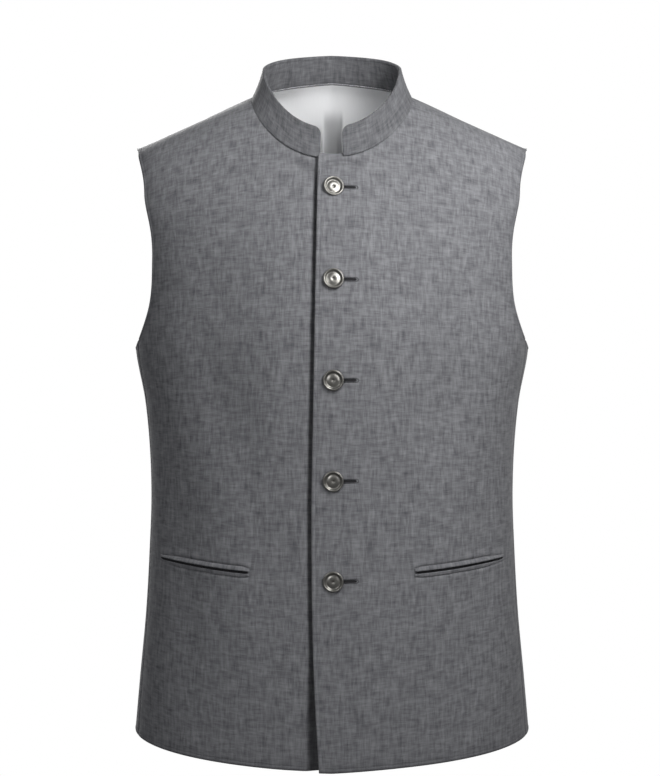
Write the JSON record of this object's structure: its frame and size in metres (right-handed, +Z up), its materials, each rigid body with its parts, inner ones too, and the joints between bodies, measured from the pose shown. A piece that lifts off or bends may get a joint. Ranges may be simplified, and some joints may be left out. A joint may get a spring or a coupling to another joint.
{
  "type": "band-collar waistcoat",
  "caption": "Sleeveless waistcoat in its worn, hollow form: standing band collar open at the throat, buttoned centre front, double-jetted hip pockets and a lined back.",
  "frame": {"origin": "midway between the two points where the shoulder seams meet the collar, where the wearer's shoulders carry it", "axes": "+Z up, front towards -Y, wearer's left towards +X"},
  "size_m": [0.4282, 0.2423, 0.7685],
  "materials": {
    "cloth": "plain melange weave with fine slubs, matt",
    "lining": "pale satin",
    "button": "glossy, dished"
  },
  "bodies": {
    "root": {"front_left": "cloth", "front_right": "cloth", "back": "cloth", "collar": "cloth", "lining_back": "lining", "pocket_left_upper_jet": "cloth", "pocket_left_lower_jet": "cloth", "pocket_right_upper_jet": "cloth", "pocket_right_lower_jet": "cloth", "button_1": "button", "button_2": "button", "button_3": "button", "button_4": "button", "button_5": "button"}
  },
  "joints": []
}
